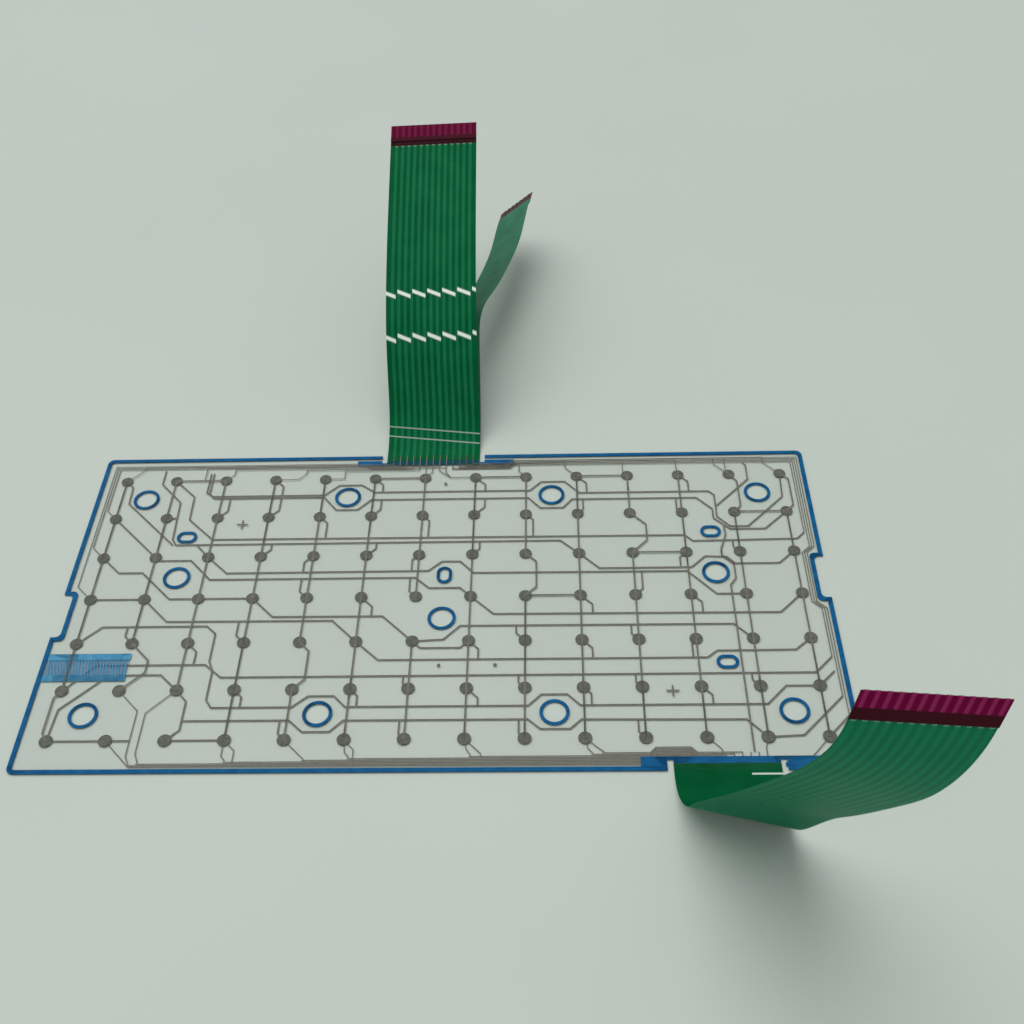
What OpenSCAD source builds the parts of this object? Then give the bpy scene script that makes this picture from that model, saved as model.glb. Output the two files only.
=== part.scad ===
// Membrane keypad: two printed circuit films, a spacer film between them and three film tails.
// The sheet lies flat with its back face on z = 0, centred on the key grid; lengths are in millimetres.

/* [Key grid] */
// Distance between neighbouring key places
key_pitch = 19.05; // [18.6:0.05:19.4]
// Diameter of a printed key pad
pad_dia = 4.4; // [3.5:0.1:6]
// Diameter of a key opening in the spacer
key_opening_dia = 6; // [6:0.1:9]

/* [Sheet] */
// Film left beyond the outer key places, at the two ends
end_margin = 9.7; // [9.4:0.1:12]
// Film left beyond the outer key places, front and rear
side_margin = 11.85; // [11.5:0.05:14]
// Radius of the sheet's corners
corner_radius = 2.3; // [1:0.1:4]
// Thickness of a circuit film
film_thickness = 0.125; // [0.1:0.025:0.2]
// Thickness of the spacer film
spacer_thickness = 0.125; // [0.1:0.025:0.25]
// Thickness of one printed layer
ink_thickness = 0.02; // [0.01:0.005:0.03]

/* [Openings] */
// Diameter of a boss hole
boss_hole_dia = 7.5; // [6:0.1:9]
// Length of a locating slot
slot_length = 5.2; // [4:0.1:6]
// Width of a locating slot
slot_width = 3.2; // [2.5:0.1:4]
// Depth of an end notch
notch_depth = 3.3; // [2:0.1:4]
// Width of an end notch
notch_width = 18.4; // [12:0.1:22]

/* [Print] */
// Width of a printed trace
trace_width = 0.6; // [0.4:0.05:0.8]
// Width of a trace in the edge bundles
bundle_width = 0.34; // [0.2:0.02:0.4]
// Width of the seal line along the sheet's edge
seal_width = 1.5; // [1:0.1:1.7]
// Width of the seal ring round an opening
ring_width = 1.1; // [0.6:0.1:1.5]

/* [Tails] */
// Distance between neighbouring tail conductors
line_pitch = 2.54; // [2.3:0.02:2.6]
// Width of a tail conductor
line_width = 1.2; // [0.6:0.1:1.6]
// Length of the long rear tail
long_tail_length = 146.5; // [125:0.5:165]
// Length of the front tail
front_tail_length = 146.5; // [135:0.5:155]
// Length of the short rear tail
short_tail_length = 150; // [140:0.5:160]
// Length of a stiffener at a tail's end
stiffener_length = 8; // [7:0.5:12]
// Thickness of a stiffener
stiffener_thickness = 0.19; // [0.1:0.01:0.3]
// Bare contact length at a tail's end
contact_length = 4.5; // [3:0.5:6]

/* [Hidden] */
$fn = 48;
film_colour = "#dfe6dc";
spacer_colour = "#e4eae2";
silver_colour = "#77756a";
carbon_colour = "#5d5a50";
seal_colour = "#15558a";
vent_colour = "#3f86ad";
coat_colour = "#0c6b42";
stiffener_colour = "#84104f";

// The keypad's grid and its tails' lines
columns = 14;
rows = 7;
wide_lines = 13;
short_lines = 7;
mid_column = (columns - 1) / 2;
mid_row = (rows - 1) / 2;
sheet_x = (columns - 1) * key_pitch + 2 * end_margin;
sheet_y = (rows - 1) * key_pitch + 2 * side_margin;
rear_edge = sheet_y / 2;

// Lines of the edge bundles: from the seal line to the first one, and from line to line
seal_gap = 0.84;
front_lane = 0.514;
end_lane = 0.857;
notch_gain = 0.35;

// Heights of the layers above the table
z_lower_silver = film_thickness;
z_lower_carbon = z_lower_silver + ink_thickness;
z_spacer = z_lower_carbon + ink_thickness;
z_upper_carbon = z_spacer + spacer_thickness;
z_upper_silver = z_upper_carbon + ink_thickness;
z_upper_film = z_upper_silver + ink_thickness;

// Openings in column and row counts from the rear left key place
boss_places = [
    [0.5, 0.5], [4.5, 0.5], [8.5, 0.5], [12.5, 0.5],
    [1.5, 2.5], [11.5, 2.5], [6.5, 3.5],
    [0.5, 5.5], [4.5, 5.5], [8.5, 5.5], [12.5, 5.5]
];
cross_slots = [[1.5, 1.5], [11.5, 1.5], [11.5, 4.5]];
upright_slots = [[6.5, 2.5]];
notch_shift = 0.37 * key_pitch;
notch_radius = 1.8;

// Tails: where they leave the sheet, and the relief slits beside them
wide_tail_width = (wide_lines + 1) * line_pitch;
front_tail_width = wide_lines * line_pitch;
short_tail_width = (short_lines + 1) * line_pitch;
rear_tail_x = -0.37 * key_pitch;
front_tail_x = 4.776 * key_pitch;
short_tail_x = rear_tail_x + (wide_tail_width - short_tail_width) / 2;
slit_width = 1.9;
slit_depth = 3.8;

// Fold turns in degrees for each fold, and slants of the folds, against the share of the tail's length
folds = 22;
long_turn = [
    [0, 20], [0.1, 11.5], [0.2, -1.5], [0.3, -5], [0.4, -3], [0.5, -1.5], [0.65, -1], [0.8, 0], [1, -0.5]
];
long_slant = [[0, -4], [0.25, -15], [0.5, -1], [0.75, -1], [0.93, 0]];
front_turn = [
    [0, 0], [0.08, 20], [0.12, 26.2], [0.16, 19.4], [0.2, 6.4], [0.24, -3], [0.28, -4.1], [0.34, -0.7],
    [0.42, 1.2], [0.52, 0.2], [0.65, 0.2], [0.8, 5.5], [0.9, 8.8], [1, 10.4]
];
front_slant = [
    [0, 0.7], [0.08, -31], [0.12, -13.2], [0.16, 2.8], [0.2, -5.9], [0.24, -23.4], [0.28, -28.5],
    [0.34, -18.3], [0.42, -10.9], [0.52, -1.4], [0.65, 8.9], [0.8, 23.5], [0.94, 0]
];
short_turn = [
    [0, 0], [0.1, 17], [0.2, 1.2], [0.3, -22.9], [0.4, -9.2], [0.5, 3.1], [0.6, 0.9], [0.7, 0.8],
    [0.8, 4.2], [0.9, -0.6], [1, -9.5]
];
short_slant = [
    [0, 8.1], [0.12, -9.7], [0.24, 46.5], [0.36, 39.5], [0.48, 22], [0.6, 0.4], [0.72, -15.2],
    [0.84, -17.9], [0.93, 0]
];

// Column circuit: straight runs as column, first row, last row
column_runs = [
    [0, 0, 5], [1, 0, 4], [2, 0, 5], [3, 0, 6], [4, 0, 4], [4, 5, 6], [5, 0, 6], [6, 0, 3], [6, 4, 6],
    [7, 0, 6], [8, 0, 2], [8, 3, 6], [9, 0, 6], [10, 0, 1], [10, 2, 6], [11, 0, 6], [12, 1, 6], [13, 1, 6]
];
// Column circuit: runs that step aside, and links between columns
column_routes = [
    [[0, 5], [-0.1, 5.15], [-0.1, 5.85], [0, 6]],
    [[1, 4], [1.37, 4.37], [1.37, 4.63], [1, 5]],
    [[4, 4], [4.19, 4.2], [4.19, 4.8], [4, 5]],
    [[8, 2], [8.2, 2.2], [8.2, 2.8], [8, 3]],
    [[10, 1], [10.29, 1.3], [10.29, 1.7], [10, 2]],
    [[12, 0], [12.14, 0.2], [12.14, 0.86], [12, 1]],
    [[13, 0], [13.15, 0.15], [13.15, 0.85], [13, 1]],
    [[1, 0], [2, 0]],
    [[5, 0], [6, 0]],
    [[7, 0], [8, 0]],
    [[9, 0], [10, 0]],
    [[12, 1], [13, 1]],
    [[10, 2], [11, 2]],
    [[8, 3], [9, 3]],
    [[11.76, 1.33], [11.77, 1.6], [11.65, 1.95], [11.65, 2.1], [11.85, 2.3], [11.85, 2.65],
        [11.74, 2.8], [11.74, 6.28]]
];
// Row circuit: the buses that run between the rows of keys
row_routes = [
    [[1.67, -0.2], [1.67, 0.33], [1.82, 0.43], [4.03, 0.43], [4.3, 0.17], [4.75, 0.17], [5.02, 0.37],
        [8.08, 0.37], [8.3, 0.14], [8.76, 0.14], [9.05, 0.45], [11.56, 0.45], [11.66, 0.55],
        [11.66, 1.12], [11.89, 1.37], [12.23, 1.37], [12.97, 0.62], [13, 0]],
    [[1.73, -0.2], [1.73, 0.37], [1.85, 0.49], [4.03, 0.49], [4.3, 0.83], [4.72, 0.83], [4.97, 0.57],
        [8.05, 0.57], [8.28, 0.84], [8.72, 0.84], [8.9, 0.62], [11.31, 0.62], [11.59, 0.92],
        [11.59, 1.16], [11.88, 1.44], [12.54, 1.44], [13, 1]],
    [[12.3, -0.34], [12.36, -0.24], [12.36, 0.14], [11.66, 0.86]],
    [[1, 0], [1.44, 0.43], [1.46, 1.04], [2, 1.56], [11, 1.58], [11.15, 1.73], [13.1, 1.7],
        [right_lane(0), 1.55]],
    [[0.73, -0.29], [0.73, 0.08], [1.19, 0.58], [1.23, 1.55], [1.32, 1.69], [8.65, 1.68], [9, 2],
        [9.37, 2.37], [11.07, 2.37], [11.34, 2.11], [11.74, 2.13], [11.88, 2.29], [12.69, 2.29], [13, 2]],
    [[0, 0], [0.15, 0.15], [0.17, 0.6], [1.26, 1.69]],
    [[1, 1], [1.21, 1]],
    [[1.72, 1.69], [2, 2], [2.42, 2.4], [6.2, 2.39], [6.44, 2.17], [6.78, 2.17], [7.04, 2.45], [10.98, 2.46],
        [11.47, 3], [12, 3]],
    [[0, 1], [1, 2], [1.1, 2.08], [1.69, 2.08], [2.13, 2.55], [5.96, 2.55], [6.23, 2.8], [6.8, 2.8],
        [7, 3], [7.43, 3.41], [12.56, 3.43], [13, 3]],
    [[0, 2], [0.38, 2.37], [0.83, 2.37], [1.46, 3], [3, 3], [3.43, 3.43], [5.43, 3.44], [6, 4], [6.55, 3.97],
        [6.84, 3.67], [11.69, 3.68], [12, 4]],
    [[6, 4], [6.15, 4.15], [6.86, 4.15], [7, 4]],
    [[0, 3], [1, 3], [1.52, 3.52], [4.53, 3.53], [5, 4], [5.43, 4.4], [11.17, 4.4], [11.34, 4.26],
        [12.71, 4.25], [13, 4]],
    [[0, 4], [0.38, 3.63], [2.28, 3.63], [2.46, 3.8], [2.46, 4.4], [2.55, 4.6], [2.55, 5.2], [2.66, 5.36],
        [4.04, 5.36], [4.3, 5.14], [4.74, 5.14], [4.95, 5.36], [8.06, 5.36], [8.28, 5.14], [8.72, 5.14],
        [8.94, 5.36], [12.08, 5.36], [12.43, 5], [13, 5]],
    [[0, 5], [0.48, 4.47], [2.4, 4.47], [2.72, 4.74], [12.98, 4.73], [right_lane(1), 4.41]],
    [[2, 5], [2.21, 5.23], [2.21, 5.8], [2, 6], [3, 6]],
    [[2.21, 5.62], [4.03, 5.62], [4.28, 5.85], [4.74, 5.85], [4.95, 5.63], [8.05, 5.63],
        [8.26, 5.82], [8.76, 5.82], [8.95, 5.64], [11.69, 5.66], [12, 6], [12.59, 5.97],
        [right_lane(2), 5.22]],
    [[2, 5], [1.66, 4.68], [1.05, 4.68], [0.65, 4.78], [0.04, 5.38], [0, 6], [1, 6], [1.41, 6]],
    [[13, 5], [13.29, 4.71]],
    [[13, 6], [right_lane(3), 5.6]]
];
// Row circuit: short stubs as column, row, sidestep, row of the bus
row_stubs = [
    [3, 0, 0.18, 0.43], [5, 0, 0.17, 0.37], [7, 0, 0.2, 0.37], [9, 0, 0.19, 0.45], [11, 0, 0.18, 0.45],
    [2, 1, 0.17, 0.49], [3, 1, 0.18, 0.49], [5, 1, 0.17, 0.57], [7, 1, 0.2, 0.57],
    [9, 1, 0.11, 0.62], [11, 1, -0.09, 0.62],
    [4, 1, 0.17, 1.57], [6, 1, 0.14, 1.57], [8, 1, 0.14, 1.57],
    [3, 2, 0.17, 1.69], [5, 2, 0.17, 1.69], [7, 2, 0.13, 1.68], [12, 2, -0.11, 1.72],
    [4, 2, -0.15, 2.4], [6, 2, -0.12, 2.39], [11, 2, -0.13, 2.37],
    [4, 3, -0.15, 2.55], [6, 3, -0.13, 2.55], [10, 3, 0.14, 2.46],
    [5, 3, 0.22, 3.44], [9, 3, 0.21, 3.41], [11, 3, 0.18, 3.42],
    [8, 4, -0.16, 3.67], [10, 4, -0.12, 3.68], [3, 4, -0.16, 3.53], [1, 4, -0.16, 3.63],
    [7, 4, 0.18, 4.4], [9, 4, 0.18, 4.4], [11, 4, -0.08, 4.4], [2, 4, 0.19, 4.47],
    [6, 5, -0.1, 4.74], [8, 5, -0.11, 4.74], [10, 5, -0.1, 4.74], [12, 5, -0.12, 4.73],
    [3, 5, 0.15, 5.36], [5, 5, 0.14, 5.36], [7, 5, 0.2, 5.36], [9, 5, 0.13, 5.36], [11, 5, 0.17, 5.36],
    [4, 6, -0.12, 5.62], [6, 6, -0.1, 5.63], [8, 6, -0.1, 5.63], [10, 6, -0.11, 5.65]
];

// Edge bundles: row of a bundle's outer line, and the step to the next one
bundle_step = 0.04;
rear_bundle = -0.38;
front_bundle = rows - 1 + (side_margin - seal_width - seal_gap) / key_pitch;
front_step = front_lane / key_pitch;
function front_row(i) = front_bundle - i * front_step;
// Column of lane i at the right end, and past the notch there
function right_lane(i) = columns - 1 + (end_margin - seal_width - seal_gap - (3 - i) * end_lane) / key_pitch;
function notch_lane(i) = right_lane(i) - (notch_depth - notch_gain) / key_pitch;
// Leads of the column circuit into the long tail, from the left and from the right
left_leads = [
    [[0, 0], [0.3, -0.3]],
    [[1.57, 0], [1.57, -0.2]],
    [[2, 0], [2.15, -0.15]],
    [[3, 0], [3.45, 0], [3.6, -0.15]],
    [[4, 0], [4.38, 0], [4.38, -0.1]]
];
right_leads = [
    [[8, 0], [7.86, -0.14]],
    [[9, 0], [8.78, -0.22]],
    [[11, 0], [10.98, -0.2]],
    [[13, 0], [12.71, -0.29]]
];
extra_leads = [
    [[10, 0], [9.92, -0.1], [9.92, -0.37]],
    [[12, 0], [11.73, -0.27], [11.73, -0.45]],
    [[12, 0], [11.95, -0.1], [11.95, -0.45]]
];
// Leads of the row circuit into the front tail, from the left
front_leads = [
    [[1, 6], [1.5, front_bundle]],
    [[1, 5], [1.41, 5.41], [1.41, 6.3]],
    [[2, 5], [1.56, 5.46], [1.56, 6.25]],
    [[3, 6], [3, 6.3]],
    [[4, 6], [4.3, 6.3]],
    [[5, 6], [5.04, 6.25]],
    [[7, 6], [7.04, 6.2]],
    [[9, 6], [9.04, 6.2]],
    [[9, 6], [9.22, 6.2]]
];
front_extra_leads = [
    [[3, 6], [3.2, 6.2], [3.2, front_row(3)]],
    [[5, 6], [5.18, 6.2], [5.18, front_row(5)]],
    [[7, 6], [7.28, 6.28], [7.28, front_row(6)]],
    [[11, 6], [11.2, 6.2], [11.24, front_row(8)]]
];

// Plan position of a place counted in columns and rows
function at(p) = [(p[0] - mid_column) * key_pitch, (mid_row - p[1]) * key_pitch];
function plan(list) = [for (p = list) at(p)];
// Column of a tail conductor, counted from the left
function rear_line(i) = mid_column + rear_tail_x / key_pitch + (i - 6) * line_pitch / key_pitch;
function front_line(i) = mid_column + front_tail_x / key_pitch + (i - 6) * line_pitch / key_pitch;
rear_edge_row = mid_row - rear_edge / key_pitch;
front_edge_row = mid_row + rear_edge / key_pitch;

// Outline of a trace of one width with mitred bends
function heading(a, b) = (b - a) / norm(b - a);
function across(v) = [-v[1], v[0]];
function mitre(p, i) =
    let (
        before = across(i > 0 ? heading(p[i - 1], p[i]) : heading(p[0], p[1])),
        after = across(i < len(p) - 1 ? heading(p[i], p[i + 1]) : heading(p[i - 1], p[i])),
        m = before + after
    )
    m * 2 / (m * m);
function outline(p, half) = concat(
    [for (i = [0 : len(p) - 1]) p[i] + mitre(p, i) * half],
    [for (i = [len(p) - 1 : -1 : 0]) p[i] - mitre(p, i) * half]
);

module trace(places, width = trace_width) {
    polygon(outline(plan(places), width / 2));
}

module stub(s) {
    way = s[3] > s[1] ? 1 : -1;
    trace([[s[0], s[1]], [s[0] + s[2], s[1] + way * abs(s[2])], [s[0] + s[2], s[3]]]);
}

// Sheet outline, drawn in by an inset
module rounded(x, y, r) {
    square([x, y - 2 * r], center = true);
    square([x - 2 * r, y], center = true);
    for (sx = [-1, 1], sy = [-1, 1])
        translate([sx * (x / 2 - r), sy * (y / 2 - r)]) circle(r);
}

module notch(side, inset) {
    translate([side * sheet_x / 2, side * notch_shift])
        rounded(2 * (notch_depth + inset), notch_width + 2 * inset, notch_radius);
}

module plate(inset) {
    difference() {
        rounded(sheet_x - 2 * inset, sheet_y - 2 * inset, corner_radius - min(inset, corner_radius / 2));
        notch(-1, inset);
        notch(1, inset);
    }
}

module slit(tail_x, width, side, end) {
    translate([tail_x + side * (width + slit_width) / 2, end * (rear_edge - slit_depth / 2 + 1)])
        square([slit_width, slit_depth + 2], center = true);
}

module slits() {
    for (side = [-1, 1]) {
        slit(rear_tail_x, wide_tail_width, side, 1);
        slit(front_tail_x, front_tail_width, side, -1);
    }
}

module long_hole(x, y) {
    r = min(x, y) / 2;
    square(x > y ? [x - 2 * r, y] : [x, y - 2 * r], center = true);
    for (s = [-1, 1])
        translate(x > y ? [s * (x / 2 - r), 0] : [0, s * (y / 2 - r)]) circle(r);
}

module openings(grow) {
    for (p = boss_places) translate(at(p)) circle(boss_hole_dia / 2 + grow);
    for (p = cross_slots) translate(at(p)) long_hole(slot_length + 2 * grow, slot_width + 2 * grow);
    for (p = upright_slots) translate(at(p)) long_hole(slot_width + 2 * grow, slot_length + 2 * grow);
}

module sheet() {
    difference() {
        plate(0);
        openings(0);
        slits();
    }
}

module key_places(dia) {
    for (c = [0 : columns - 1], r = [0 : rows - 1])
        translate(at([c, r])) circle(d = dia);
}

// A tail is a flat strip folded along slanted lines: a frame is its origin and its three axes
function turned(v, k, b) = v * cos(b) + cross(k, v) * sin(b) + k * (k * v) * (1 - cos(b));
function folded(f, s, slant, turn) =
    let (
        axis = f[1] * cos(slant) + f[2] * sin(slant),
        x = turned(f[1], axis, turn),
        y = turned(f[2], axis, turn),
        z = turned(f[3], axis, turn)
    )
    [f[0] + (f[2] - y) * s, x, y, z];
function fold_place(i, len) = (i + 0.5) * (len - stiffener_length) / folds;
function value(table, i, len) = lookup(fold_place(i, len) / len, table);
function frames(base, out, len, turn, slant) = [
    for (
        i = 0, f = [base, [out, 0, 0], [0, out, 0], [0, 0, 1]];
        i <= folds;
        f = folded(f, fold_place(i, len), value(slant, i, len), value(turn, i, len)), i = i + 1
    ) f
];
// A ring is a line across the strip: its middle, its run for each step across, and its normal
function shared_normal(a, b) = (a + b) / (1 + a * b);
function ring(f, s, slant, n) = [f[0] + f[2] * s, f[1] + f[2] * tan(slant), n];
function rings(base, out, len, turn, slant) =
    let (f = frames(base, out, len, turn, slant), last = f[folds])
    concat(
        [ring(f[0], 0, 0, f[0][3])],
        [for (i = [0 : folds - 1])
            ring(f[i], fold_place(i, len), value(slant, i, len), shared_normal(f[i][3], f[i + 1][3]))],
        [for (s = [len - stiffener_length, len - contact_length, len]) ring(last, s, 0, last[3])]
    );

// Solid strip between two places across and two heights, from ring a to ring b
module strip(r, x0, x1, z0, z1, a, b) {
    points = [
        for (j = [a : b], c = [[x0, z0], [x1, z0], [x1, z1], [x0, z1]])
            r[j][0] + r[j][1] * c[0] + r[j][2] * c[1]
    ];
    n = b - a;
    sides = [
        for (j = [0 : n - 1], q = [0 : 3])
            [4 * j + q, 4 * j + (q + 1) % 4, 4 * j + 4 + (q + 1) % 4, 4 * j + 4 + q]
    ];
    polyhedron(points, concat(sides, [[3, 2, 1, 0], [4 * n, 4 * n + 1, 4 * n + 2, 4 * n + 3]]));
}

// Rings by number: the stiffener starts at the third from the end, the bare contacts at the second
start_ring = 0;
stiffener_ring = folds + 1;
contact_ring = folds + 2;
end_ring = folds + 3;
long_rings = rings([rear_tail_x, rear_edge, z_upper_film], 1, long_tail_length, long_turn, long_slant);
front_rings = rings([front_tail_x, -rear_edge, 0], -1, front_tail_length, front_turn, front_slant);
short_rings = rings([short_tail_x, rear_edge, 0], 1, short_tail_length, short_turn, short_slant);

// Full-width strip of a tail, and a row of lines on it
module band(r, width, z0, z1, a, b) {
    strip(r, -width / 2, width / 2, z0, z1, a, b);
}

module lines(r, count, z0, z1, a, b) {
    for (i = [0 : count - 1]) {
        x = (i - (count - 1) / 2) * line_pitch;
        strip(r, x - line_width / 2, x + line_width / 2, z0, z1, a, b);
    }
}

module lower_film() {
    color(film_colour)
        linear_extrude(film_thickness) sheet();
}

module spacer_film() {
    color(spacer_colour)
        translate([0, 0, z_spacer])
        linear_extrude(spacer_thickness)
        difference() {
            sheet();
            key_places(key_opening_dia);
        }
}

module upper_film() {
    color(film_colour)
        translate([0, 0, z_upper_film]) linear_extrude(film_thickness) sheet();
}

// Strips of the films that run on past the sheet's edge as tails
module long_tail_film() {
    color(film_colour)
        band(long_rings, wide_tail_width, 0, film_thickness, start_ring, end_ring);
}

module front_tail_film() {
    color(film_colour)
        band(front_rings, front_tail_width, 0, film_thickness, start_ring, end_ring);
}

module short_tail_film() {
    color(film_colour)
        band(short_rings, short_tail_width, 0, film_thickness, start_ring, end_ring);
}

module lower_key_pads() {
    color(carbon_colour)
        translate([0, 0, z_lower_carbon])
        linear_extrude(ink_thickness)
        key_places(pad_dia);
}

module upper_key_pads() {
    color(carbon_colour)
        translate([0, 0, z_upper_carbon])
        linear_extrude(ink_thickness)
        key_places(pad_dia);
}

// Lead i of the long tail from the left: up into the bundle, along it and out through the tail
module left_lead(i) {
    row = rear_bundle + i * bundle_step;
    lead = left_leads[i];
    last = lead[len(lead) - 1];
    trace(concat(lead, [[last[0], row + 0.06]]), bundle_width);
    line = rear_line(i);
    trace([[last[0], row + 0.07], [last[0], row], [line, row], [line, rear_edge_row]], bundle_width);
}

module right_lead(i) {
    row = rear_bundle + (3 - i) * bundle_step;
    lead = right_leads[i];
    last = lead[len(lead) - 1];
    line = rear_line(i + 9);
    trace(concat(lead, [[last[0], row - 0.02]]), bundle_width);
    run = [[last[0], row], [last[0], row - 0.07], [7.72, row - 0.07], [7.65, row], [line, row]];
    trace(concat(run, [[line, rear_edge_row]]), bundle_width);
}

module marks() {
    for (p = [[2.52, 1.19], [10.51, 5.09]])
        translate(at(p)) {
            square([0.22 * key_pitch, trace_width], center = true);
            square([trace_width, 0.22 * key_pitch], center = true);
        }
    for (p = [[6.41, 0.17], [6.5, 4.53], [7.48, 4.53]])
        translate(at(p)) circle(trace_width, $fn = 12);
}

module upper_traces() {
    color(silver_colour)
        translate([0, 0, z_upper_silver])
        linear_extrude(ink_thickness)
        offset(delta = 0.001) {
            for (v = column_runs) trace([[v[0], v[1]], [v[0], v[2]]]);
            for (v = column_routes) trace(v);
            for (i = [0 : 4]) left_lead(i);
            for (i = [0 : 3]) right_lead(i);
            for (v = extra_leads) trace(v, bundle_width);
            trace([[6, 0], [rear_line(5), -0.15], [rear_line(5), rear_edge_row]], bundle_width);
            trace([[6, 0], [rear_line(6), -0.15], [rear_line(6), rear_edge_row]], bundle_width);
            trace([[6.5, 0], [rear_line(7), -0.2], [rear_line(7), rear_edge_row]], bundle_width);
            trace([[7, 0], [6.5, 0], [rear_line(8), -0.15], [rear_line(8), rear_edge_row]], bundle_width);
            marks();
        }
}

// Lead of the short tail from the left end, counted from the inner line
module end_lead(i) {
    side = -0.21 - 0.05 * i;
    row = rear_bundle + (2 - i) * bundle_step + 0.02;
    line = rear_line(8 - i);
    trace([[0, i + 1], [side, i + 1 + side], [side, row - 0.06], [4.8, row - 0.06], [4.86, row], [line, row],
        [line, rear_edge_row]], bundle_width);
}

// Lead of the short tail from the right end: up the edge, in past the notch, and along the rear edge
module right_end_lead(i) {
    side = right_lane(i);
    inner = notch_lane(i);
    row = rear_bundle + (3 - i) * bundle_step + 0.02;
    line = rear_line(9 + i);
    from = [1.55, 4.41, 5.22, 5.6][i];
    lower = i == 0 ? [[side, from]] : [[side, from], [side, 3.35], [inner, 3.2], [inner, 2.05], [side, 1.9]];
    upper = [[side, row - 0.09], [7.78, row - 0.09], [7.69, row], [line, row], [line, rear_edge_row]];
    trace(concat(lower, upper), bundle_width);
}

// Lead of the front tail from the left: down into the bundle, over the slit's end and out through the tail
module front_lead(i) {
    row = front_bundle - i * front_step;
    lead = front_leads[i];
    last = lead[len(lead) - 1];
    line = front_line(i);
    over = min(10.72, line);
    rest = line > 10.85 ? [[over, row - 0.1], [over + 0.1, row], [line, row]] : [[line, row - 0.1]];
    trace(concat(lead, [[last[0] + 0.08, row - 0.02]]), bundle_width);
    run = [[last[0] + 0.05, row], [10.05, row], [10.15, row - 0.1]];
    trace(concat(run, rest, [[line, front_edge_row]]), bundle_width);
}

right_front_lead = [
    [13, 6], [12.75, 6.28], [12.67, front_row(5)], [front_line(12), front_row(5)],
    [front_line(12), front_edge_row]
];

module lower_traces() {
    color(silver_colour)
        translate([0, 0, z_lower_silver])
        linear_extrude(ink_thickness)
        offset(delta = 0.001) {
            for (v = row_routes) trace(v);
            for (s = row_stubs) stub(s);
            for (i = [0 : 2]) end_lead(i);
            for (i = [0 : 3]) right_end_lead(i);
            for (i = [0 : 8]) front_lead(i);
            for (v = front_extra_leads) trace(v, bundle_width);
            for (i = [9, 10])
                trace([[front_line(i), front_row(8)], [front_line(i), front_edge_row]], bundle_width);
            trace([[12, 6], [front_line(11), 6.2], [front_line(11), front_edge_row]], bundle_width);
            trace(right_front_lead, bundle_width);
        }
}

// Seal print: a line along the edge and a ring round each opening, left out where a tail starts
module tail_window(tail_x, width, end) {
    translate([tail_x, end * rear_edge])
        square([width + 2 * slit_width, 2 * slit_depth], center = true);
}

module seal_lines() {
    difference() {
        plate(0);
        plate(seal_width);
        slits();
        tail_window(rear_tail_x, wide_tail_width, 1);
        tail_window(front_tail_x, front_tail_width, -1);
    }
    difference() {
        openings(ring_width);
        openings(0);
    }
}

// Seal band over the conductors where a tail leaves the sheet
band_depth = 2.4;
band_left = 26.5;
band_right = 29.5;

module seal_band(tail_x, end, left, right) {
    difference() {
        translate([tail_x - left, end * (rear_edge - slit_depth) - band_depth / 2])
            square([left + right, band_depth]);
        slits();
    }
}

// Seal between the front band and the edge line, left of the slit
module seal_block() {
    right = front_tail_x - front_tail_width / 2 - slit_width;
    left = front_tail_x - band_left;
    top = slit_depth + band_depth / 2;
    translate([left, seal_width - rear_edge]) square([right - left, top - seal_width]);
}

// Vent patch of the seal at the left end: two bars with slanting walls between them
module vent_patch() {
    left = -0.42;
    right = 1.05;
    top = 4.22;
    bottom = 4.8;
    bar = 0.13;
    walls = 26;
    for (r = [top, bottom - bar])
        translate(at([left, r + bar])) square([(right - left) * key_pitch, bar * key_pitch]);
    for (i = [1 : walls]) {
        c = left + (right - left) * i / (walls + 1);
        trace([[c - 0.04, top + bar / 2], [c + 0.04, bottom - bar / 2]], bundle_width);
    }
}

module lower_seal() {
    color(seal_colour) {
        translate([0, 0, z_lower_silver]) linear_extrude(2 * ink_thickness) seal_lines();
        translate([0, 0, z_lower_carbon]) linear_extrude(ink_thickness) {
            seal_band(front_tail_x, -1, band_left, band_right);
            seal_block();
        }
    }
}

module vent_walls() {
    color(vent_colour)
        translate([0, 0, z_lower_carbon])
        linear_extrude(ink_thickness)
        offset(delta = 0.001) vent_patch();
}

module upper_seal() {
    color(seal_colour) {
        translate([0, 0, z_upper_carbon]) linear_extrude(2 * ink_thickness) seal_lines();
        translate([0, 0, z_upper_carbon]) linear_extrude(ink_thickness) seal_band(rear_tail_x, 1, 29, 31);
    }
}

// Long tail: printed on its underside, as the upper film is
z_stiffener_top = film_thickness + stiffener_thickness;

module long_tail_conductors() {
    color(silver_colour)
        lines(long_rings, wide_lines, -ink_thickness, 0, start_ring, end_ring);
}

module long_tail_coat() {
    color(coat_colour)
        band(long_rings, wide_tail_width, -2 * ink_thickness, -ink_thickness, start_ring, contact_ring);
}

module long_tail_contacts() {
    color(carbon_colour)
        lines(long_rings, wide_lines, -2 * ink_thickness, -ink_thickness, contact_ring, end_ring);
}

module long_tail_stiffener() {
    color(stiffener_colour)
        band(long_rings, wide_tail_width, film_thickness, z_stiffener_top, stiffener_ring, end_ring);
}

// Front and short tails: printed on top, as the lower film is
z_tail_coat = film_thickness + ink_thickness;
z_tail_top = z_tail_coat + ink_thickness;

module front_tail_conductors() {
    color(silver_colour)
        lines(front_rings, wide_lines, film_thickness, z_tail_coat, start_ring, end_ring);
}

module front_tail_coat() {
    color(coat_colour)
        band(front_rings, front_tail_width, z_tail_coat, z_tail_top, start_ring, contact_ring);
}

module front_tail_contacts() {
    color(carbon_colour)
        lines(front_rings, wide_lines, z_tail_coat, z_tail_top, contact_ring, end_ring);
}

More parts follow.
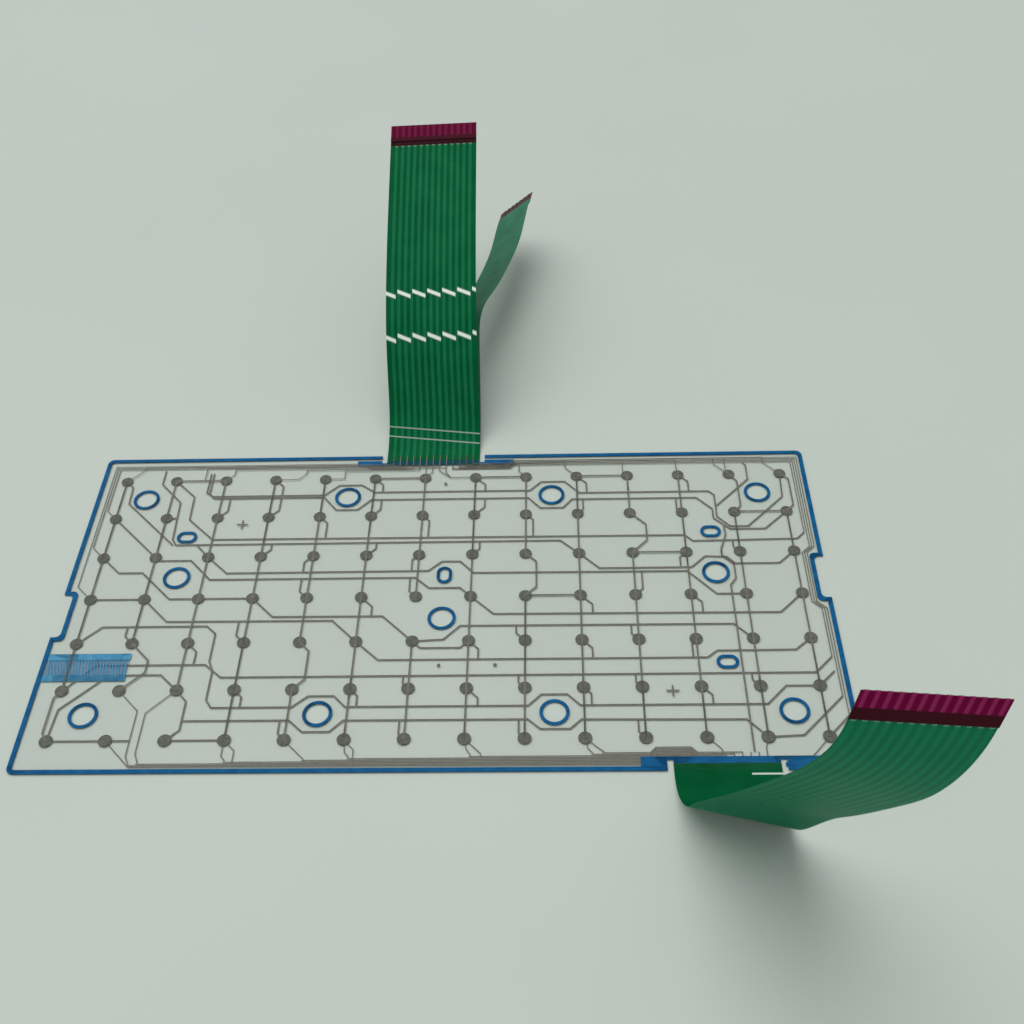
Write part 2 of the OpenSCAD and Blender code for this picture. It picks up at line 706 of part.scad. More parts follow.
module front_tail_stiffener() {
    color(stiffener_colour)
        band(front_rings, front_tail_width, -stiffener_thickness, 0, stiffener_ring, end_ring);
}

module short_tail_conductors() {
    color(silver_colour)
        lines(short_rings, short_lines, film_thickness, z_tail_coat, start_ring, end_ring);
}

module short_tail_coat() {
    color(coat_colour)
        band(short_rings, short_tail_width, z_tail_coat, z_tail_top, start_ring, contact_ring);
}

module short_tail_contacts() {
    color(carbon_colour)
        lines(short_rings, short_lines, z_tail_coat, z_tail_top, contact_ring, end_ring);
}

module short_tail_stiffener() {
    color(stiffener_colour)
        band(short_rings, short_tail_width, -stiffener_thickness, 0, stiffener_ring, end_ring);
}

lower_film();
lower_traces();
lower_key_pads();
lower_seal();
vent_walls();
spacer_film();
upper_seal();
upper_key_pads();
upper_traces();
upper_film();
long_tail_film();
long_tail_conductors();
long_tail_coat();
long_tail_contacts();
long_tail_stiffener();
front_tail_film();
front_tail_conductors();
front_tail_coat();
front_tail_contacts();
front_tail_stiffener();
short_tail_film();
short_tail_conductors();
short_tail_coat();
short_tail_contacts();
short_tail_stiffener();
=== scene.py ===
from math import atan, cos, pi, radians, sin, tan

import bmesh
import bpy
import numpy
from mathutils import Matrix, Vector


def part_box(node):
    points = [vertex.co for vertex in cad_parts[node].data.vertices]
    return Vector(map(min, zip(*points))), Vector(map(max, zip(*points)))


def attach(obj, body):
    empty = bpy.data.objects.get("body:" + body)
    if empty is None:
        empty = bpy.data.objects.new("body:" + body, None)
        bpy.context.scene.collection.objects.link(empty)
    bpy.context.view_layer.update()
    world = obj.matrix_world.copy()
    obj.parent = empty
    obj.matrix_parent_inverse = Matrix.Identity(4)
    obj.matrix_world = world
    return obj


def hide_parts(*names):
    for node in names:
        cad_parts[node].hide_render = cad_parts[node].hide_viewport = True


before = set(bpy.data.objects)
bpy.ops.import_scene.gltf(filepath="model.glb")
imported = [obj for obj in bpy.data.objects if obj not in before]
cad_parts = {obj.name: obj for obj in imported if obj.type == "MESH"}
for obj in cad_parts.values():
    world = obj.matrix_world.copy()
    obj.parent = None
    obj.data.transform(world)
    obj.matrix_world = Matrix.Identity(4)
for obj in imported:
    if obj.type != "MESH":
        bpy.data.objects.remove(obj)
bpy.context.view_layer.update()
MM = 0.001

# Sizes of the tails in millimetres, as the part has them
STIFFENER = 8.0
CONTACT = 4.5
LINE_PITCH = 2.54
LINE_WIDTH = 1.2
FILM = 0.125
INK = 0.02
BACKING = 0.19
# The layers lie a hair apart, so that no two faces share a plane
GAP = 0.003
# Each layer of a tail, as distances outwards from the printed face of its film
FILM_LAYER = (-FILM, 0)
PRINT_LAYER = (GAP, INK)
COAT_LAYER = (INK + GAP, 2 * INK - GAP)
LAMINATE_LAYER = (-FILM - BACKING, -FILM - GAP)
# The part's folds, and into how many small folds each of them is parted here
FOLDS = 22
FINE = 5
# Within this many metres a point lies on a fold line
ON_LINE = 1e-7
# Edges that turn by more than this many degrees stay crisp
CRISP = 30
# Turns and slants of the folds in degrees, against the share of the tail's length, as the part has them.
# The root is how far the green ink runs on between the films, up to the blue band. The front tail is turned
# half round, and only the long one has its print on its underside
TAILS = {
    "long": dict(
        base=(-7.0485, 69.0, 0.33), turned=0.0, print_up=False,
        length=146.5, width=35.56, lines=13, root=2.5,
        turn=[[0, 20], [0.1, 11.5], [0.2, -1.5], [0.3, -5], [0.4, -3], [0.5, -1.5], [0.65, -1], [0.8, 0],
              [1, -0.5]],
        slant=[[0, -4], [0.25, -15], [0.5, -1], [0.75, -1], [0.93, 0]],
    ),
    "front": dict(
        base=(90.9828, -69.0, 0.0), turned=pi, print_up=True,
        length=146.5, width=33.02, lines=13, root=2.5,
        turn=[[0, 0], [0.08, 20], [0.12, 26.2], [0.16, 19.4], [0.2, 6.4], [0.24, -3], [0.28, -4.1],
              [0.34, -0.7], [0.42, 1.2], [0.52, 0.2], [0.65, 0.2], [0.8, 5.5], [0.9, 8.8], [1, 10.4]],
        slant=[[0, 0.7], [0.08, -31], [0.12, -13.2], [0.16, 2.8], [0.2, -5.9], [0.24, -23.4], [0.28, -28.5],
               [0.34, -18.3], [0.42, -10.9], [0.52, -1.4], [0.65, 8.9], [0.8, 23.5], [0.94, 0]],
    ),
    "short": dict(
        base=(0.5715, 69.0, 0.0), turned=0.0, print_up=True,
        length=150.0, width=20.32, lines=7, root=0.0,
        turn=[[0, 0], [0.1, 17], [0.2, 1.2], [0.3, -22.9], [0.4, -9.2], [0.5, 3.1], [0.6, 0.9], [0.7, 0.8],
              [0.8, 4.2], [0.9, -0.6], [1, -9.5]],
        slant=[[0, 8.1], [0.12, -9.7], [0.24, 46.5], [0.36, 39.5], [0.48, 22], [0.6, 0.4], [0.72, -15.2],
               [0.84, -17.9], [0.93, 0]],
    ),
}

# Where the rear blue band lies over the green ink: middle and half size
REAR_BAND = ((-7.0485, 65.2), (17.8, 1.3))
# The strip between the front blue band and the sheet's edge line, right of the front tail
FRONT_FILL = dict(x0=108.8, x1=120.4, y0=-67.7, y1=-66.2, z0=0.127, z1=0.163)

# White marks of creased film in millimetres: along a tail from its laminate, across it from its middle line.
# The marks are partly the film's own whitening and partly a painted highlight along the folds. The long tail
# has two rows of slanting dashes, shifted sideways by a share of their pitch
DASH_PITCH = 5.9
DASH_SHIFT = 0.3
DASH_SLOPE = 0.45
DASH_HALF_LENGTH = 2.6
DASH_CORE = 0.5
DASH_EDGE = 1.25
ROWS_MIDDLE = -81.5
ROWS_APART = 18.0
ROWS_REACH = 16.0
# Close to the sheet it has two thin creases, whitened and painted with a highlight only by that share
CREASES_MIDDLE = -129.0
CREASES_APART = 4.0
CREASE_SLOPE = 0.12
CREASE_HALF_WIDTH = 0.26
CREASE_SHARE = 0.55
# The front tail has one short crease by the sheet's edge, up to its side, whitened and painted with the glint
# that its fold catches
FRONT_CREASE = dict(along=-137.3, half_width=0.32, across=-11.8, half_length=4.7, share=0.7)

# Noise lies mostly between these values, so a mottle spreads them over its two colours
NOISE_LOW = 0.35
NOISE_HIGH = 0.65
BUMP_STRENGTH = 0.25
# Colours where one layer changes another, some with painted light in them: creased film, partly whitened and
# partly a painted highlight along its folds, blue ink over green, the laminate's dark inner edge, partly the
# green under it and partly a painted shadow at its step, the inks nearly black from just before the laminate
# on, and the ends of the silver lines that no green covers
CREASE_WHITE_AND_HIGHLIGHT = "#e6f2e8"
BLUE_OVER_GREEN = "#0c4650"
DARK_EDGE_AND_PAINTED_SHADOW = "#43131f"
# Nearly black from 2.2 mm before the laminate's edge onwards, under the laminate too
NEARLY_BLACK_FROM_LAMINATE = "#36101c"
BARE_SILVER = "#6f8a75"
PALE_BARE_SILVER = "#9fb0a0"


# Materials
def colour(hex_code):
    """Linear colour of an sRGB hex value."""
    parts = [int(hex_code[i:i + 2], 16) / 255 for i in (1, 3, 5)]
    return [c / 12.92 if c <= 0.04045 else ((c + 0.055) / 1.055) ** 2.4 for c in parts] + [1.0]


def add(tree, kind, inputs=None, **settings):
    """Adds a node with its settings, and links or sets its inputs.

    A colour mix takes its factor at 0 and its colours at 6 and 7, and gives its colour at output 2.
    """
    node = tree.nodes.new(kind)
    for key, value in settings.items():
        setattr(node, key, value)
    for key, value in (inputs or {}).items():
        if isinstance(value, bpy.types.NodeSocket):
            tree.links.new(value, node.inputs[key])
        else:
            node.inputs[key].default_value = value
    return node


def finish_of(name, blend=False, **constants):
    """A new material with one shader, its constant sockets set, and the places that a pattern reads."""
    material = bpy.data.materials.new(name)
    material.use_nodes = True
    if blend:
        material.surface_render_method = "BLENDED"
    tree = material.node_tree
    tree.nodes.clear()
    shader = add(tree, "ShaderNodeBsdfPrincipled", {k.replace("_", " "): v for k, v in constants.items()})
    add(tree, "ShaderNodeOutputMaterial", {"Surface": shader.outputs[0]})
    places = add(tree, "ShaderNodeTexCoord").outputs
    return material, tree, shader, places


def polyester_film():
    # Clear polyester film, drawn and heat-set: see-through, with a faint warm grey in slow streaks.
    # A wave texture of scale 1 has a streak every pi / 10
    streak_mm = 71.63
    clear, hazy = 0.0075, 0.0095
    material, tree, shader, places = finish_of("polyester_film", True, Roughness=0.35, Specular_IOR_Level=0.3)
    milk = add(tree, "ShaderNodeTexWave", {"Vector": places["Object"], "Scale": pi / 10 / (streak_mm * MM)})
    tone = add(tree, "ShaderNodeMix", {0: milk.outputs[0], 6: colour("#505040"), 7: colour("#62624e")},
               data_type="RGBA")
    haze = add(tree, "ShaderNodeMapRange", {"Value": milk.outputs[0], "To Min": clear, "To Max": hazy})
    tree.links.new(tone.outputs[2], shader.inputs["Base Color"])
    tree.links.new(haze.outputs[0], shader.inputs["Alpha"])
    return material


def long_crease_white_and_highlight(tree, across, along):
    """How white the long tail is: its two rows of slanting dashes and its two thin creases, partly whitened
    film and partly a painted highlight along the folds.
    """
    turns = add(tree, "ShaderNodeMath", {0: across, 1: 1 / (DASH_PITCH * MM), 2: DASH_SHIFT},
                operation="MULTIPLY_ADD")
    part = add(tree, "ShaderNodeMath", {0: turns.outputs[0]}, operation="FRACT")
    beside = add(tree, "ShaderNodeMath", {0: part.outputs[0], 1: DASH_PITCH * MM, 2: -DASH_PITCH / 2 * MM},
                 operation="MULTIPLY_ADD")
    # Both rows are wrapped onto the one that lies further from the laminate
    row = add(tree, "ShaderNodeMath", {0: along, 1: ROWS_MIDDLE * MM, 2: (ROWS_MIDDLE - ROWS_APART) * MM},
              operation="WRAP")
    lean = add(tree, "ShaderNodeMath", {0: beside.outputs[0], 1: DASH_SLOPE, 2: row.outputs[0]},
               operation="MULTIPLY_ADD")
    off = add(tree, "ShaderNodeMath", {0: lean.outputs[0], 1: (ROWS_APART / 2 - ROWS_MIDDLE) * MM},
              operation="ADD")
    away = add(tree, "ShaderNodeMath", {0: off.outputs[0]}, operation="ABSOLUTE")
    dash = add(tree, "ShaderNodeMapRange", {"Value": away.outputs[0], "From Min": DASH_CORE * MM,
                                            "From Max": DASH_EDGE * MM, "To Min": 1.0, "To Max": 0.0})
    rows = add(tree, "ShaderNodeMath", {0: along, 1: ROWS_MIDDLE * MM, 2: ROWS_REACH * MM},
               operation="COMPARE")
    reach = add(tree, "ShaderNodeMath", {0: beside.outputs[0], 1: 0.0, 2: DASH_HALF_LENGTH * MM},
                operation="COMPARE")
    inside = add(tree, "ShaderNodeMath", {0: rows.outputs[0], 1: reach.outputs[0]}, operation="MULTIPLY")
    dashes = add(tree, "ShaderNodeMath", {0: dash.outputs[0], 1: inside.outputs[0]}, operation="MULTIPLY")
    slope = add(tree, "ShaderNodeMath", {0: across, 1: CREASE_SLOPE, 2: along}, operation="MULTIPLY_ADD")
    pair = add(tree, "ShaderNodeMath", {0: slope.outputs[0], 1: -CREASES_MIDDLE * MM}, operation="ADD")
    apart = add(tree, "ShaderNodeMath", {0: pair.outputs[0]}, operation="ABSOLUTE")
    near = add(tree, "ShaderNodeMath",
               {0: apart.outputs[0], 1: CREASES_APART / 2 * MM, 2: CREASE_HALF_WIDTH * MM},
               operation="COMPARE")
    crease = add(tree, "ShaderNodeMath", {0: near.outputs[0], 1: CREASE_SHARE}, operation="MULTIPLY")
    return add(tree, "ShaderNodeMath", {0: dashes.outputs[0], 1: crease.outputs[0]}, operation="MAXIMUM")


def front_crease_white_and_glint(tree, across, along):
    """How white the front tail is: its one short crease, partly whitened film and partly a painted glint
    along its fold.
    """
    crease = FRONT_CREASE
    near = add(tree, "ShaderNodeMath", {0: along, 1: crease["along"] * MM, 2: crease["half_width"] * MM},
               operation="COMPARE")
    reach = add(tree, "ShaderNodeMath", {0: across, 1: crease["across"] * MM, 2: crease["half_length"] * MM},
                operation="COMPARE")
    mark = add(tree, "ShaderNodeMath", {0: near.outputs[0], 1: reach.outputs[0]}, operation="MULTIPLY")
    return add(tree, "ShaderNodeMath", {0: mark.outputs[0], 1: crease["share"]}, operation="MULTIPLY")


def tail_film(name, low, high, tone_code, marks=None):
    # The same film on the tails: clear or a little hazy over the green in a fine grain;
    # where it was creased it has turned white and carries a painted highlight along the folds
    grain_mm = 1.6
    material, tree, shader, places = finish_of(name, True, Roughness=0.3, Specular_IOR_Level=0.05)
    grain = add(tree, "ShaderNodeTexNoise", {"Vector": places["Object"], "Scale": 1 / (grain_mm * MM),
                                             "Detail": 2.0})
    share = add(tree, "ShaderNodeMapRange", {"Value": grain.outputs[0], "To Min": low, "To Max": high})
    if marks is None:
        shader.inputs["Base Color"].default_value = colour(tone_code)
    else:
        flat = add(tree, "ShaderNodeSeparateXYZ", {"Vector": places["UV"]})
        white_and_highlight = marks(tree, flat.outputs["X"], flat.outputs["Y"])
        tone = add(tree, "ShaderNodeMix", {0: white_and_highlight.outputs[0], 6: colour(tone_code), 7: colour(CREASE_WHITE_AND_HIGHLIGHT)},
                   data_type="RGBA")
        tree.links.new(tone.outputs[2], shader.inputs["Base Color"])
        share = add(tree, "ShaderNodeMath", {0: share.outputs[0], 1: white_and_highlight.outputs[0]}, operation="MAXIMUM")
    tree.links.new(share.outputs[0], shader.inputs["Alpha"])
    return material


def ink(name, size_mm, low, high, bump_mm=0.02, patches=(), **constants):
    # Screen-printed ink: flat colour with a fine mottle of that size, as the mesh lays it down;
    # in the patches it lies over green ink, which makes it a dark teal
    material, tree, shader, places = finish_of(name, **constants)
    mottle = add(tree, "ShaderNodeTexNoise", {"Vector": places["Object"], "Scale": 1 / (size_mm * MM),
                                              "Detail": 3.0})
    share = add(tree, "ShaderNodeMapRange", {"Value": mottle.outputs[0], "From Min": NOISE_LOW,
                                             "From Max": NOISE_HIGH})
    tone = add(tree, "ShaderNodeMix", {0: share.outputs[0], 6: colour(low), 7: colour(high)},
               data_type="RGBA")
    for (x, y), (half_x, half_y) in patches:
        spot = add(tree, "ShaderNodeSeparateXYZ", {"Vector": places["Object"]})
        across = add(tree, "ShaderNodeMath", {0: spot.outputs["X"], 1: x * MM, 2: half_x * MM},
                     operation="COMPARE")
        along = add(tree, "ShaderNodeMath", {0: spot.outputs["Y"], 1: y * MM, 2: half_y * MM},
                    operation="COMPARE")
        over = add(tree, "ShaderNodeMath", {0: across.outputs[0], 1: along.outputs[0]},
                   operation="MULTIPLY")
        tone = add(tree, "ShaderNodeMix",
                   {0: over.outputs[0], 6: tone.outputs[2], 7: colour(BLUE_OVER_GREEN)}, data_type="RGBA")
    tree.links.new(tone.outputs[2], shader.inputs["Base Color"])
    if bump_mm:
        bump = add(tree, "ShaderNodeBump", {"Height": mottle.outputs[0], "Distance": bump_mm * MM,
                                            "Strength": BUMP_STRENGTH})
        tree.links.new(bump.outputs[0], shader.inputs["Normal"])
    return material


def green_coat(name, low, high, ends=(), fade=None, marks=None):
    # Green solder-resist ink: deep and wet-looking, mottled by its thickness. Past the ends, in millimetres
    # from the laminate, it has other colours: bare ticks, or nearly black from just before the laminate
    # onwards, under it too. Before the fade begins what lies under it doesn't show, and where it was creased
    # it has turned white and carries a painted glint along the fold
    cloud_mm = 9
    bump_mm = 0.04
    material, tree, shader, places = finish_of(name, Roughness=0.4, Specular_IOR_Level=0.01)
    mottle = add(tree, "ShaderNodeTexNoise", {"Vector": places["Object"], "Scale": 1 / (cloud_mm * MM),
                                              "Detail": 3.0})
    share = add(tree, "ShaderNodeMapRange", {"Value": mottle.outputs[0], "From Min": NOISE_LOW,
                                             "From Max": NOISE_HIGH})
    tone = add(tree, "ShaderNodeMix", {0: share.outputs[0], 6: colour(low), 7: colour(high)},
               data_type="RGBA")
    flat = add(tree, "ShaderNodeSeparateXYZ", {"Vector": places["UV"]})
    if fade:
        start, stop, code = fade
        shown = add(tree, "ShaderNodeMapRange", {"Value": flat.outputs["Y"], "From Min": start * MM,
                                                 "From Max": stop * MM})
        tone = add(tree, "ShaderNodeMix", {0: shown.outputs[0], 6: colour(code), 7: tone.outputs[2]},
                   data_type="RGBA")
    for start, code in ends:
        past = add(tree, "ShaderNodeMath", {0: flat.outputs["Y"], 1: start * MM}, operation="GREATER_THAN")
        tone = add(tree, "ShaderNodeMix", {0: past.outputs[0], 6: tone.outputs[2], 7: colour(code)},
                   data_type="RGBA")
    if marks:
        white_and_highlight = marks(tree, flat.outputs["X"], flat.outputs["Y"])
        tone = add(tree, "ShaderNodeMix", {0: white_and_highlight.outputs[0], 6: tone.outputs[2], 7: colour(CREASE_WHITE_AND_HIGHLIGHT)},
                   data_type="RGBA")
    bump = add(tree, "ShaderNodeBump", {"Height": mottle.outputs[0], "Distance": bump_mm * MM,
                                        "Strength": BUMP_STRENGTH})
    tree.links.new(tone.outputs[2], shader.inputs["Base Color"])
    tree.links.new(bump.outputs[0], shader.inputs["Normal"])
    return material


def laminate(name, low, high, dark_mm):
    # Tinted polyester laminate: deep magenta with a hard gloss, pinker over the contact lines,
    # nearly black along its inner edge, partly from the green ink that ends under it and partly a painted
    # shadow at its step
    core_mm, edge_mm = 0.3, 0.7
    blur_mm = 0.2
    material, tree, shader, places = finish_of(name, Roughness=0.3, Specular_IOR_Level=0.02)
    flat = add(tree, "ShaderNodeSeparateXYZ", {"Vector": places["UV"]})
    beside = add(tree, "ShaderNodeMath", {0: flat.outputs["X"], 1: LINE_PITCH / 2 * MM},
                 operation="PINGPONG")
    line = add(tree, "ShaderNodeMapRange", {"Value": beside.outputs[0], "From Min": core_mm * MM,
                                            "From Max": edge_mm * MM, "To Min": 1.0, "To Max": 0.0})
    bars = add(tree, "ShaderNodeMix", {0: line.outputs[0], 6: colour(low), 7: colour(high)},
               data_type="RGBA")
    green_under_and_shadow = add(tree, "ShaderNodeMapRange", {
        "Value": flat.outputs["Y"], "From Min": (dark_mm - blur_mm) * MM,
        "From Max": (dark_mm + blur_mm) * MM, "To Min": 1.0, "To Max": 0.0})
    tone = add(tree, "ShaderNodeMix", {0: green_under_and_shadow.outputs[0], 6: bars.outputs[2], 7: colour(DARK_EDGE_AND_PAINTED_SHADOW)},
               data_type="RGBA")
    tree.links.new(tone.outputs[2], shader.inputs["Base Color"])
    return material


def thin_print():
    # Dielectric ink printed thin: a clear blue through which the film and its traces show
    weave_mm = 1.5
    thin, thick = 0.16, 0.3
    material, tree, shader, places = finish_of("dielectric_ink_clear", True, Roughness=0.4,
                                               Specular_IOR_Level=0.05)
    shader.inputs["Base Color"].default_value = colour("#0674ac")
    weave = add(tree, "ShaderNodeTexNoise", {"Vector": places["Object"], "Scale": 1 / (weave_mm * MM),
                                             "Detail": 2.0})
    share = add(tree, "ShaderNodeMapRange", {"Value": weave.outputs[0], "To Min": thin, "To Max": thick})
    tree.links.new(share.outputs[0], shader.inputs["Alpha"])
    return material


FILM_SHEET = polyester_film()
# Silver ink is warm grey with a fine flake, hardly shiny; carbon over it is darker and quite matt
SILVER = ink("silver_ink", 0.6, "#646258", "#78756b", Roughness=0.55, Specular_IOR_Level=0.2)
CARBON = ink("carbon_ink", 1.1, "#53564d", "#666960", Roughness=0.7, Specular_IOR_Level=0.2)
# Blue dielectric ink: strong and slightly glossy; where it is printed thin the pale film lightens it
SEAL = ink("dielectric_ink_blue", 4, "#074f80", "#0e5f90", patches=[REAR_BAND], Roughness=0.38,
           Specular_IOR_Level=0.04)
VENT = ink("dielectric_ink_thin", 3, "#3a84ac", "#5698bd", Roughness=0.42, Specular_IOR_Level=0.05)
VENT_FIELD = thin_print()
MAGENTA = laminate("polyester_laminate_magenta", "#58032a", "#731842", 2.0)
# Each tail's film, green ink, silver lines that show lighter under the green, bare contacts and laminate
LAYERS = {
    "long": dict(
        film=tail_film("polyester_film_creased_and_highlit", 0.005, 0.02, "#2c6a4c", long_crease_white_and_highlight),
        green=green_coat("insulating_ink_green", "#035530", "#065e38", [(-2.2, NEARLY_BLACK_FROM_LAMINATE)]),
        lines=green_coat("silver_under_green", "#166d47", "#1d734b",
                         [(-2.8, BARE_SILVER), (-2.2, NEARLY_BLACK_FROM_LAMINATE)]),
        contacts=CARBON,
        laminate=MAGENTA,
    ),
    "front": dict(
        # The front tail's film is far hazier in a pale tone than the others: painted light on a tail that
        # faces away from the lamp, which also softens its lines
        film=tail_film("polyester_film_tail_hazy_painted_light", 0.18, 0.24, "#30b484"),
        green=green_coat("insulating_ink_green_thick", "#034c2a", "#065431", marks=front_crease_white_and_glint),
        lines=green_coat("silver_under_thick_green", "#12704a", "#1a7750",
                         [(-0.7, PALE_BARE_SILVER)], fade=(-100, -45, "#06522f")),
        contacts=CARBON,
        # The front tail's laminate is the same magenta painted lighter: painted light on a tail that faces
        # away from the lamp
        laminate=laminate("polyester_laminate_painted_lighter", "#72063a", "#9a2a62", 3.4),
    ),
    "short": dict(
        film=tail_film("polyester_film_clear", 0.02, 0.04, "#6cc8a4"),
        # The short tail's green ink and silver lines are the same inks painted far lighter: painted light on
        # a tail that lies mostly in shade
        green=green_coat("insulating_ink_green_painted_lighter", "#3b725a", "#447c64"),
        lines=green_coat("silver_under_green_painted_lighter", "#2e7858", "#378262"),
        contacts=ink("carbon_ink_end", 1.1, "#3a262d", "#4a343b", Roughness=0.7),
        laminate=MAGENTA,
    ),
}


# Pieces
def show(name, bm, material):
    """Puts the mesh into the scene as an object with that finish."""
    mesh = bpy.data.meshes.new(name)
    bm.to_mesh(mesh)
    bm.free()
    mesh.materials.append(material)
    obj = bpy.data.objects.new(name, mesh)
    bpy.context.scene.collection.objects.link(obj)
    return obj


def piece(name, bm, material, slot, *nodes):
    """Makes the mesh a finished piece of the part that stands for those nodes."""
    bmesh.ops.recalc_face_normals(bm, faces=bm.faces)
    obj = show(name, bm, material)
    obj.data.polygons.foreach_set("use_smooth", [True] * len(obj.data.polygons))
    obj.data.set_sharp_from_angle(angle=radians(CRISP))
    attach(obj, "root")
    if nodes:
        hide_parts(*nodes)


def bar(bm, x0, x1, y0, y1, z0, z1):
    """A thin flat bar between those places, in millimetres."""
    size = Matrix.Diagonal(((x1 - x0) * MM, (y1 - y0) * MM, (z1 - z0) * MM, 1))
    middle = Matrix.Translation(Vector((x0 + x1, y0 + y1, z0 + z1)) * MM / 2)
    bmesh.ops.create_cube(bm, size=1, matrix=middle @ size)


def fold(bm, tail):
    """Cuts the flat strip along its fold lines, folds it from the far end and sets it on the sheet's edge."""
    length = tail["length"]
    run = length - STIFFENER
    step = run / FOLDS
    places = [(i + 0.5) * step for i in range(FOLDS)]
    turns = [numpy.interp(s / length, *zip(*tail["turn"])) for s in places]
    leans = [tan(radians(numpy.interp(s / length, *zip(*tail["slant"])))) for s in places]
    folds = []
    for i in range(FOLDS * FINE):
        s = (i + 0.5) * step / FINE
        turn = numpy.interp(s, places, turns) / FINE
        lean = numpy.interp(s, [0] + places + [run], [0] + leans + [0])
        folds.append((s * MM, atan(lean), radians(turn)))
    for s, slant, turn in folds:
        bmesh.ops.bisect_plane(bm, geom=bm.verts[:] + bm.edges[:] + bm.faces[:], dist=ON_LINE,
                               plane_co=(0, s, 0), plane_no=(-sin(slant), cos(slant), 0))
    flat = {v: v.co.copy() for v in bm.verts}
    # Texture places on the flat strip in metres, along it from the laminate's inner edge
    texture = bm.loops.layers.uv.new("flat")
    for face in bm.faces:
        for corner in face.loops:
            corner[texture].uv = (corner.vert.co.x, corner.vert.co.y - run * MM)
    for s, slant, turn in reversed(folds):
        beyond = [v for v, p in flat.items() if (p.y - s) * cos(slant) - p.x * sin(slant) > ON_LINE]
        bmesh.ops.rotate(bm, verts=beyond, cent=(0, s, 0),
                         matrix=Matrix.Rotation(turn, 3, (cos(slant), sin(slant), 0)))
    base = Matrix.Translation(Vector(tail["base"]) * MM) @ Matrix.Rotation(tail["turned"], 4, "Z")
    bmesh.ops.transform(bm, matrix=base, verts=bm.verts)


def heights(tail, layer):
    """Lowest and highest place of a layer, from the underside of the tail's film."""
    near, far = layer
    return (FILM + near, FILM + far) if tail["print_up"] else (-far, -near)


def tail_band(tail, layer, y0, y1):
    """A layer over the tail's whole width, between those places along it."""
    bm = bmesh.new()
    half = tail["width"] / 2
    bar(bm, -half, half, y0, y1, *heights(tail, layer))
    fold(bm, tail)
    return bm


def tail_lines(tail, layer, y0, y1):
    """The tail's lines in a layer, between those places along it."""
    bm = bmesh.new()
    for i in range(tail["lines"]):
        x = (i - (tail["lines"] - 1) / 2) * LINE_PITCH
        bar(bm, x - LINE_WIDTH / 2, x + LINE_WIDTH / 2, y0, y1, *heights(tail, layer))
    fold(bm, tail)
    return bm


for material, nodes in (
    (FILM_SHEET, ("lower_film", "spacer_film", "upper_film")),
    (SILVER, ("lower_traces", "upper_traces")),
    (SEAL, ("lower_seal", "upper_seal")),
    (VENT, ("vent_walls",)),
    (CARBON, ("lower_key_pads", "upper_key_pads")),
):
    for node in nodes:
        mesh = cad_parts[node].data
        mesh.materials.clear()
        mesh.materials.append(material)

# Thin print between the vent's walls, from a quarter to half of their height
low, high = [Vector(corner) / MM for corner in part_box("vent_walls")]
rise = (high.z - low.z) / 4
bm = bmesh.new()
bar(bm, low.x, high.x, low.y, high.y, low.z + rise, low.z + 2 * rise)
piece("vent_field", bm, VENT_FIELD, "seal_ink")

bm = bmesh.new()
bar(bm, **FRONT_FILL)
piece("front_seal_fill", bm, SEAL, "seal_ink")

for name, tail in TAILS.items():
    look = LAYERS[name]
    end = tail["length"]
    bare = end - CONTACT
    piece(name + "_tail_strip", tail_band(tail, FILM_LAYER, 0, end), look["film"],
          "film", name + "_tail_film")
    piece(name + "_tail_lines", tail_lines(tail, PRINT_LAYER, 0, end), look["lines"],
          "silver_ink", name + "_tail_conductors")
    piece(name + "_tail_green", tail_band(tail, COAT_LAYER, -tail["root"], bare), look["green"],
          "green_coat", name + "_tail_coat")
    piece(name + "_tail_bare_lines", tail_lines(tail, COAT_LAYER, bare, end), look["contacts"],
          "carbon_ink", name + "_tail_contacts")
    piece(name + "_tail_laminate", tail_band(tail, LAMINATE_LAYER, end - STIFFENER, end), look["laminate"],
          "stiffener", name + "_tail_stiffener")

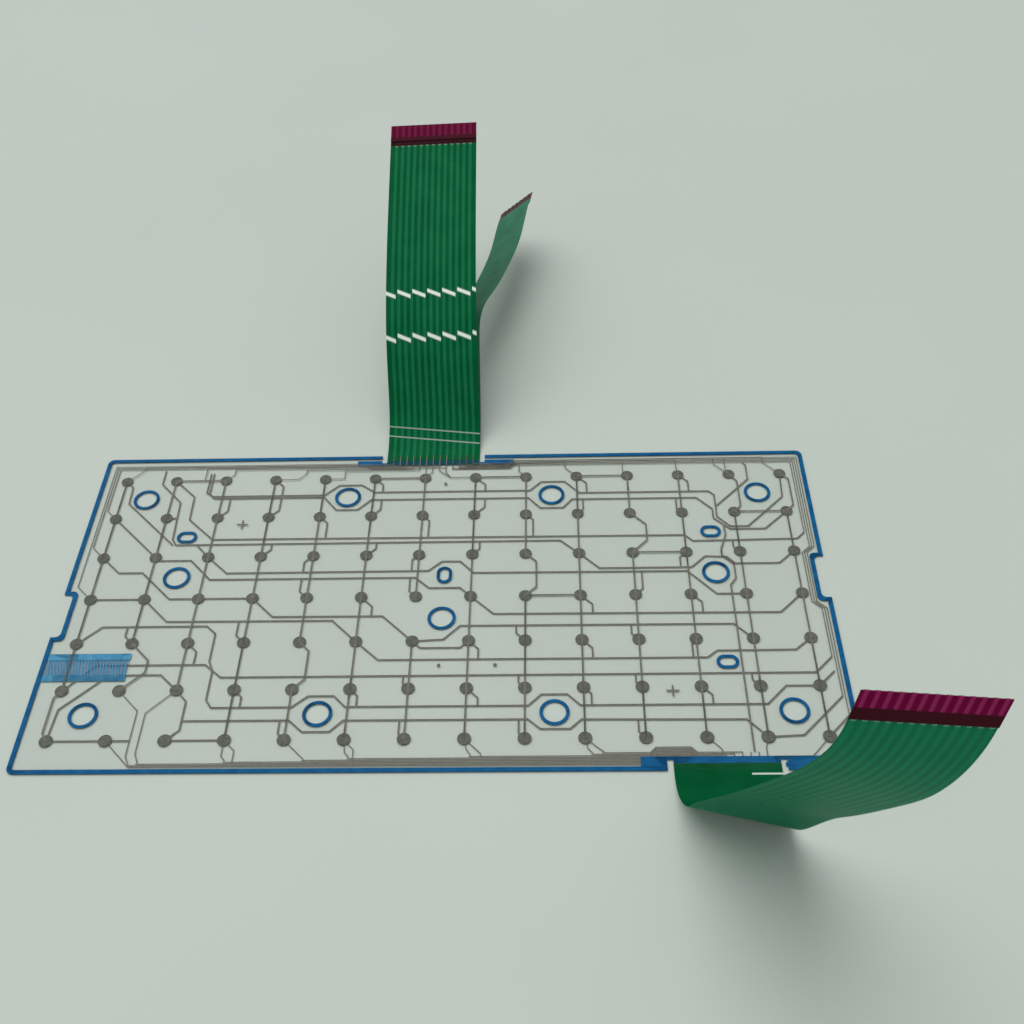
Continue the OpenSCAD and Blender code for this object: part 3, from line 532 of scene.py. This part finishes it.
# Floor: half its side in metres, and how far in millimetres it lies under the part
FLOOR_HALF = 4
FLOOR_DROP = 0.3
bm = bmesh.new()
bmesh.ops.create_grid(bm, x_segments=1, y_segments=1, size=FLOOR_HALF)
bmesh.ops.translate(bm, vec=(0, 0, -FLOOR_DROP * MM), verts=bm.verts)
# Painted table: pale grey-green, matt, hardly uneven
floor = show("floor", bm, ink("painted_table", 160, "#bcc6be", "#bfc8c0", bump_mm=0.0, Roughness=0.6))

# Light: an even pale room and one broad lamp from the rear left, whose spread is in degrees
ROOM_STRENGTH = 0.5
LAMP_STRENGTH = 1.78
LAMP_SPREAD = 60
LAMP_DIRECTION = (0.28, -0.32, -0.9)
world = bpy.data.worlds.new("studio")
bpy.context.scene.world = world
world.use_nodes = True
world.node_tree.nodes.clear()
room = add(world.node_tree, "ShaderNodeBackground", {"Color": colour("#f2f6f3"), "Strength": ROOM_STRENGTH})
add(world.node_tree, "ShaderNodeOutputWorld", {"Surface": room.outputs[0]})
light = bpy.data.lights.new("key_light", "SUN")
light.energy = LAMP_STRENGTH
light.angle = radians(LAMP_SPREAD)
lamp = bpy.data.objects.new("key_light", light)
lamp.rotation_euler = Vector(LAMP_DIRECTION).to_track_quat("-Z", "Y").to_euler()
bpy.context.scene.collection.objects.link(lamp)

# Camera: its focal length in pixels of the square image, and its turn and place in the part's frame
IMAGE_PX = 1024
FOCAL_PX = 1198.94
SENSOR = 36
camera = bpy.data.cameras.new("camera")
camera.sensor_width = SENSOR
camera.lens = SENSOR * FOCAL_PX / IMAGE_PX
camera.clip_start = 0.01
eye = bpy.data.objects.new("camera", camera)
eye.matrix_world = Matrix((
    (0.9994, 0.0125, 0.0312, 0.037288),
    (0.0118, 0.7386, -0.6740, -0.258602),
    (-0.0315, 0.6740, 0.7380, 0.326174),
    (0, 0, 0, 1),
))
bpy.context.scene.collection.objects.link(eye)
bpy.context.scene.camera = eye
bpy.context.scene.view_settings.view_transform = "Standard"
# Light passes down through both faces of three films, and up again
bpy.context.scene.cycles.transparent_max_bounces = 24
